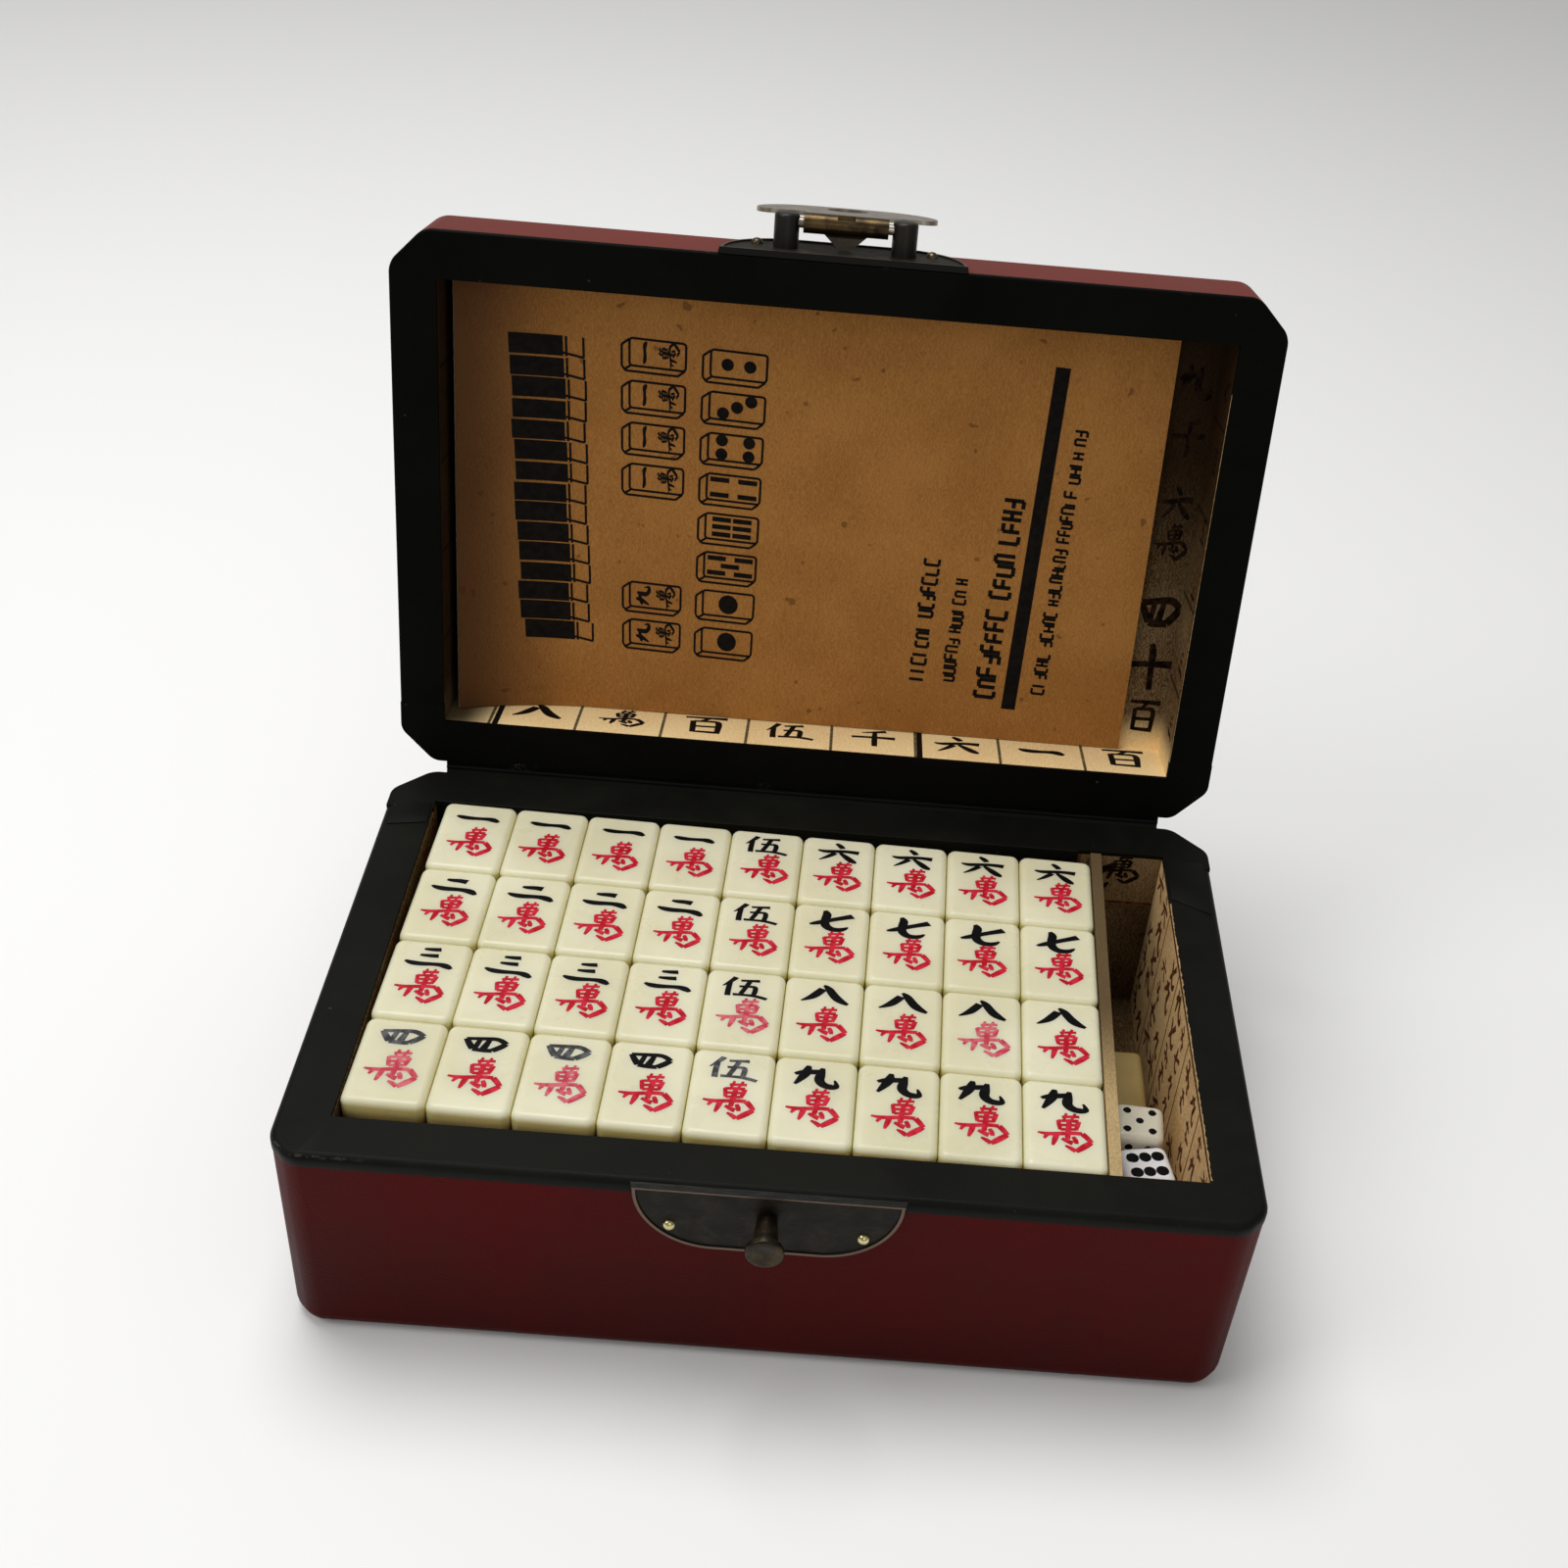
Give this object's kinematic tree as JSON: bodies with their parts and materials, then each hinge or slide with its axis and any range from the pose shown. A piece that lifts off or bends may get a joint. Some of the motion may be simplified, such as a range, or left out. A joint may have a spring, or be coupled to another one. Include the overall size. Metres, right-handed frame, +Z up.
{
  "type": "mahjong case",
  "caption": "Leather-covered wooden game case with a hinged lid and hasp latch, filled with layers of tiles, spare tiles, dice and a rule booklet.",
  "frame": {"origin": "centre of the base's underside", "axes": "+X to the right, +Y to the back where the hinge is, +Z up"},
  "size_m": [0.23, 0.2264, 0.2155],
  "materials": {
    "red_leather": "worn, fine grain",
    "black_leather": "worn, fine grain",
    "board": "plain pine board",
    "lining_paper": "matt, aged, ruled",
    "dark_metal": "dark patina, edges rubbed bright",
    "bright_metal": "rubbed bright",
    "tile": "polished, ivory coloured",
    "die": "polished, white",
    "book_cover": "matt, aged",
    "book_paper": "matt, aged"
  },
  "bodies": {
    "base": {"base_front_board": "board", "base_back_board": "board", "base_left_board": "board", "base_right_board": "board", "base_floor_board": "board", "base_cover": "red_leather", "base_bottom_cover": "red_leather", "base_lining": "lining_paper", "base_rim": "black_leather", "hinge_strip_base": "black_leather", "compartment_divider": "lining_paper", "base_lock_plate": "dark_metal", "base_plate_nails": "bright_metal", "lock_knob": "bright_metal"},
    "lid": {"lid_front_board": "board", "lid_back_board": "board", "lid_left_board": "board", "lid_right_board": "board", "lid_top_board": "board", "lid_cover": "red_leather", "lid_top_cover": "red_leather", "lid_lining": "lining_paper", "lid_rim": "black_leather", "hinge_strip_lid": "black_leather", "lid_lock_plate": "dark_metal", "lid_plate_nails": "bright_metal", "hasp_posts": "dark_metal", "hasp_pin": "bright_metal"},
    "hasp": {"hasp": "dark_metal"},
    "booklet": {"booklet_cover": "book_cover", "booklet_pages": "book_paper"},
    "tile_layer_1": {"tiles_layer_1": "tile"},
    "tile_layer_2": {"tiles_layer_2": "tile"},
    "tile_layer_3": {"tiles_layer_3": "tile"},
    "tile_layer_4": {"tiles_row_1": "tile", "tiles_row_2": "tile", "tiles_row_3": "tile", "tiles_row_4": "tile"},
    "spare_tile_1": {"spare_tile_1": "tile"},
    "spare_tile_2": {"spare_tile_2": "tile"},
    "die_1": {"die_1": "die"},
    "die_2": {"die_2": "die"}
  },
  "joints": [
    {"name": "lid_hinge", "type": "hinge", "parent": "base", "child": "lid", "pos_m": [0, 0.0745, 0.0635], "axis": [-1, 0, 0], "range_deg": [-102, 0]},
    {"name": "hasp_hinge", "type": "hinge", "parent": "lid", "child": "hasp", "pos_m": [0, 0.11484, 0.21288], "axis": [-1, 0, 0], "range_deg": [-184.5, 0]},
    {"name": "booklet_lift", "type": "slide", "parent": "lid", "child": "booklet", "axis": [0, -0.9781, 0.2079], "range_m": [0, 0.022]},
    {"name": "tile_layer_1_lift", "type": "slide", "parent": "base", "child": "tile_layer_1", "axis": [0, 0, 1], "range_m": [0, 0.06]},
    {"name": "tile_layer_2_lift", "type": "slide", "parent": "tile_layer_1", "child": "tile_layer_2", "axis": [0, 0, 1], "range_m": [0, 0.045]},
    {"name": "tile_layer_3_lift", "type": "slide", "parent": "tile_layer_2", "child": "tile_layer_3", "axis": [0, 0, 1], "range_m": [0, 0.03]},
    {"name": "tile_layer_4_lift", "type": "slide", "parent": "tile_layer_3", "child": "tile_layer_4", "axis": [0, 0, 1], "range_m": [0, 0.02]},
    {"name": "spare_tile_1_lift", "type": "slide", "parent": "base", "child": "spare_tile_1", "axis": [0, 0, 1], "range_m": [0, 0.056]},
    {"name": "spare_tile_2_lift", "type": "slide", "parent": "base", "child": "spare_tile_2", "axis": [0, 0, 1], "range_m": [0, 0.056]},
    {"name": "die_1_lift", "type": "slide", "parent": "spare_tile_2", "child": "die_1", "axis": [0, 0, 1], "range_m": [0, 0.036]},
    {"name": "die_2_lift", "type": "slide", "parent": "spare_tile_2", "child": "die_2", "axis": [0, 0, 1], "range_m": [0, 0.036]}
  ]
}
